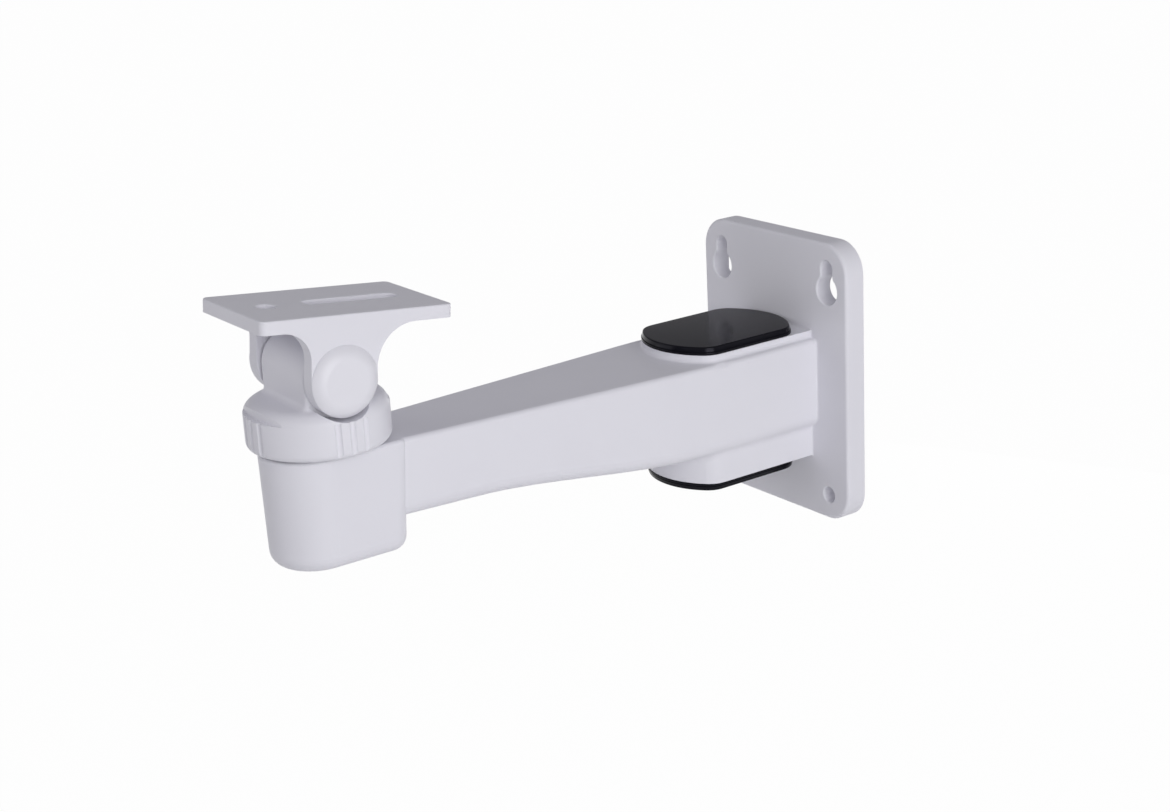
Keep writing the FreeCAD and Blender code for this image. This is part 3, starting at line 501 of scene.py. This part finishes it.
def hex_ring(base, axis, flats, height):
    """A ring of as many points as a turned one, drawn in to a hexagon."""
    wedge = 2.0 * math.pi / HEX_SIDES
    ring = turned_ring(base, axis, 1.0, height)
    centre = base + axis * height
    for step, point in enumerate(ring):
        turn = (2.0 * math.pi * step / TURNED_STEPS) % wedge - wedge / 2
        ring[step] = centre + (point - centre) * (flats / 2 / math.cos(turn))
    return ring


def bolt_blank(shape, base, axis, bolt):
    """Hexagon socket, head and shank; the axis points out of the head from its foot."""
    head = bolt["head_radius"]
    face = bolt["head"]
    floor = face - bolt["socket_depth"]
    rings = [hex_ring(base, axis, bolt["socket"], height) for height in (floor, face)]
    profile = [(head - bolt["chamfer"], face), (head, face - bolt["chamfer"]), (head, 0.0),
               (bolt["radius"], 0.0), (bolt["radius"], -bolt["length"])]
    rings += [turned_ring(base, axis, radius, height) for radius, height in profile]
    loft(shape, rings)


def node_of(tree, kind, **links):
    """A node whose sockets are given as values or as other nodes' outputs."""
    node = tree.nodes.new(kind)
    for name, value in links.items():
        socket = node.inputs[name.replace("_", " ")]
        if isinstance(value, bpy.types.NodeSocket):
            tree.links.new(value, socket)
        else:
            socket.default_value = value
    return node


def new_tree(name, inputs):
    tree = bpy.data.node_groups.new(name, "GeometryNodeTree")
    sockets = tree.interface
    for label, kind in inputs:
        sockets.new_socket(name=label, in_out="INPUT", socket_type="NodeSocket" + kind)
    sockets.new_socket(name="Geometry", in_out="OUTPUT", socket_type="NodeSocketGeometry")
    return tree, tree.nodes.new("NodeGroupInput")


def close_tree(tree, geometry, material):
    """Every tree ends in real geometry with its material set."""
    real = node_of(tree, "GeometryNodeRealizeInstances", Geometry=geometry)
    painted = node_of(tree, "GeometryNodeSetMaterial", Geometry=real.outputs[0],
                      Material=material)
    tree.links.new(painted.outputs[0], tree.nodes.new("NodeGroupOutput").inputs[0])


def maths(tree, operation, first, second):
    step = tree.nodes.new("ShaderNodeMath")
    step.operation = operation
    tree.links.new(first, step.inputs[0])
    tree.links.new(second, step.inputs[1])
    return step.outputs[0]


def thread_tree():
    """A rolled thread: a three-sided ridge that winds round the shank."""
    tree, entry = new_tree("rolled_thread", [(label, "Float") for label in PAN_THREAD])
    turns = maths(tree, "DIVIDE", entry.outputs["Length"], entry.outputs["Pitch"])
    helix = node_of(tree, "GeometryNodeCurveSpiral", Resolution=THREAD_TURN_STEPS,
                    Rotations=turns, Start_Radius=entry.outputs["Radius"],
                    End_Radius=entry.outputs["Radius"], Height=entry.outputs["Length"])
    ridge = node_of(tree, "GeometryNodeCurvePrimitiveCircle", Resolution=THREAD_SIDES,
                    Radius=entry.outputs["Depth"])
    skin = tree.nodes.new("GeometryNodeCurveToMesh")
    tree.links.new(helix.outputs[0], skin.inputs["Curve"])
    tree.links.new(ridge.outputs[0], skin.inputs["Profile Curve"])
    skin.inputs["Fill Caps"].default_value = True
    lift = node_of(tree, "ShaderNodeCombineXYZ", Z=entry.outputs["Start"])
    placed = node_of(tree, "GeometryNodeTransform", Geometry=skin.outputs[0],
                     Translation=lift.outputs[0])
    close_tree(tree, placed.outputs[0], zinc)
    return tree


def knurl_tree():
    """A knurled band: straight ridges set side by side round a bolt's head."""
    tree, entry = new_tree("knurled_band", (
        ("Radius", "Float"), ("Ridges", "Int"), ("Ridge", "Float"), ("Height", "Float"),
        ("Start", "Float")))
    circle = node_of(tree, "GeometryNodeMeshCircle", Vertices=entry.outputs["Ridges"],
                     Radius=entry.outputs["Radius"])
    ridge = node_of(tree, "GeometryNodeMeshCone", Vertices=KNURL_RIDGE_SIDES,
                    Radius_Top=entry.outputs["Ridge"], Radius_Bottom=entry.outputs["Ridge"],
                    Depth=entry.outputs["Height"])
    outwards = tree.nodes.new("FunctionNodeAlignEulerToVector")
    outwards.axis = "X"
    place = tree.nodes.new("GeometryNodeInputPosition")
    tree.links.new(place.outputs[0], outwards.inputs["Vector"])
    ridges = node_of(tree, "GeometryNodeInstanceOnPoints", Points=circle.outputs[0],
                     Instance=ridge.outputs["Mesh"], Rotation=outwards.outputs[0])
    lift = node_of(tree, "ShaderNodeCombineXYZ", Z=entry.outputs["Start"])
    raised = node_of(tree, "GeometryNodeTransform", Geometry=ridges.outputs[0],
                     Translation=lift.outputs[0])
    close_tree(tree, raised.outputs[0], zinc)
    return tree


def grow(tree, values):
    """Run a tree once and keep its result as a plain mesh."""
    seed = bpy.data.objects.new(tree.name, bpy.data.meshes.new(tree.name))
    bpy.context.scene.collection.objects.link(seed)
    modifier = seed.modifiers.new(tree.name, "NODES")
    modifier.node_group = tree
    for item in tree.interface.items_tree:
        if item.in_out == "INPUT":
            modifier[item.identifier] = values[item.name]
    graph = bpy.context.evaluated_depsgraph_get()
    mesh = bpy.data.meshes.new_from_object(seed.evaluated_get(graph))
    seed.modifiers.remove(modifier)
    bpy.data.objects.remove(seed)
    return mesh


def bolt_piece(name, base, axis, bolt, ridges):
    """The blank and its grown ridges, turned onto the bolt's axis, as one piece."""
    shape = bmesh.new()
    for mesh in ridges:
        shape.from_mesh(mesh)
        bpy.data.meshes.remove(mesh)
    turn = UPRIGHT.rotation_difference(axis).to_matrix().to_4x4()
    bmesh.ops.transform(shape, matrix=Matrix.Translation(base) @ turn, verts=shape.verts)
    bolt_blank(shape, base + axis * bolt["foot"], axis * bolt["facing"], bolt)
    return plain_piece(shape, name + "_steel", zinc)


zinc = zinc_plate()
for name in ("pan_bolt", "pan_spring_washer", "pan_washer",
             "tilt_bolt", "tilt_washer", "tilt_nut"):
    finish_node(name, zinc)
thread = thread_tree()
pan_ridges = [grow(thread, PAN_THREAD), grow(knurl_tree(), KNURL)]
pan_steel = bolt_piece("pan_bolt", PAN_AXIS, UPRIGHT, PAN_BOLT, pan_ridges)
hand_over(pan_steel, "head", "pan_bolt")
tilt_ridges = [grow(thread, TILT_THREAD)]
tilt_steel = bolt_piece("tilt_bolt", TILT_PIVOT, SIDEWAYS, TILT_BOLT, tilt_ridges)
hand_over(tilt_steel, "platform", "tilt_bolt")


# Studio
# A pale floor well below the bracket under a dim, cool sky, and four soft panels
# of light: two beside the bracket's free side, one in front and one behind.
FLOOR_SIZE = 24.0
FLOOR_DROP = 0.50
FLOOR_COLOUR = (0.86, 0.86, 0.87, 1.0)
FLOOR_OWN_SHARE = 0.02
SKY_LEVEL = 0.34
SKY_TINT = (0.955, 0.945, 1.0, 1.0)
WHITE = (1.0, 1.0, 1.0, 1.0)
WHITE_BELOW = 0.03
DIM_ABOVE = 0.13
LAMP_AIM = Vector((0.0, -0.12, 0.0))
PANELS = {
    "side_panel": {"place": (1.5, -0.45, 0.60), "width": 1.4, "height": 0.7, "power": 6.6},
    "near_panel": {"place": (0.8, -0.25, 0.1), "width": 0.5, "height": 0.4, "power": 1.9},
    "front_panel": {"place": (-0.6, -0.95, 0.3), "width": 0.7, "height": 0.6, "power": 1.4},
    "back_panel": {"place": (-0.7, 1.3, -0.4), "width": 1.2, "height": 0.8, "power": 3.2},
}


def seen_in_mirrors(tree, path):
    return maths(tree, "MAXIMUM", path.outputs["Is Glossy Ray"],
                 path.outputs["Is Transmission Ray"])


def pale_floor():
    half = FLOOR_SIZE / 2
    level = cad_box[0][2] - FLOOR_DROP
    mesh = bpy.data.meshes.new("floor")
    corners = [(-half, -half, level), (half, -half, level),
               (half, half, level), (-half, half, level)]
    mesh.from_pydata(corners, [], [(0, 1, 2, 3)])
    floor = bpy.data.objects.new("floor", mesh)
    bpy.context.scene.collection.objects.link(floor)
    material, tree, shader, _ = new_material("pale_floor")
    shader.inputs["Base Color"].default_value = FLOOR_COLOUR
    shader.inputs["Roughness"].default_value = 1.0
    white = tree.nodes.new("ShaderNodeEmission")
    path = tree.nodes.new("ShaderNodeLightPath")
    seen = maths(tree, "MAXIMUM", path.outputs["Is Camera Ray"], seen_in_mirrors(tree, path))
    mix = tree.nodes.new("ShaderNodeMixShader")
    tree.links.new(span(tree, seen, 0.0, 1.0 - FLOOR_OWN_SHARE), mix.inputs["Fac"])
    tree.links.new(shader.outputs["BSDF"], mix.inputs[1])
    tree.links.new(white.outputs["Emission"], mix.inputs[2])
    tree.links.new(mix.outputs["Shader"], tree.nodes["Material Output"].inputs["Surface"])
    mesh.materials.append(material)


def light_panels():
    for name, panel in PANELS.items():
        light = bpy.data.lights.new(name, "AREA")
        light.shape = "RECTANGLE"
        light.size = panel["width"]
        light.size_y = panel["height"]
        light.energy = panel["power"]
        lamp = bpy.data.objects.new(name, light)
        place = Vector(panel["place"])
        lamp.location = place
        lamp.rotation_euler = (LAMP_AIM - place).to_track_quat("-Z", "Y").to_euler()
        bpy.context.scene.collection.objects.link(lamp)


def white_sky():
    """White to the camera, and to mirrors near the horizon; a cool grey light otherwise."""
    world = bpy.data.worlds.new("sky")
    bpy.context.scene.world = world
    world.use_nodes = True
    tree = world.node_tree
    sky = tree.nodes["Background"]
    place = tree.nodes.new("ShaderNodeTexCoord")
    parts = tree.nodes.new("ShaderNodeSeparateXYZ")
    tree.links.new(place.outputs["Generated"], parts.inputs["Vector"])
    low = tree.nodes.new("ShaderNodeMapRange")
    low.interpolation_type = "SMOOTHSTEP"
    low.inputs["From Min"].default_value = DIM_ABOVE
    low.inputs["From Max"].default_value = WHITE_BELOW
    tree.links.new(parts.outputs["Z"], low.inputs["Value"])
    path = tree.nodes.new("ShaderNodeLightPath")
    mirrored = maths(tree, "MULTIPLY", seen_in_mirrors(tree, path), low.outputs["Result"])
    seen = maths(tree, "MAXIMUM", path.outputs["Is Camera Ray"], mirrored)
    tree.links.new(span(tree, seen, SKY_LEVEL, 1.0), sky.inputs["Strength"])
    tree.links.new(blend_colours(tree, seen, SKY_TINT, WHITE), sky.inputs["Color"])


pale_floor()
light_panels()
white_sky()
bpy.context.scene.view_settings.view_transform = "Standard"
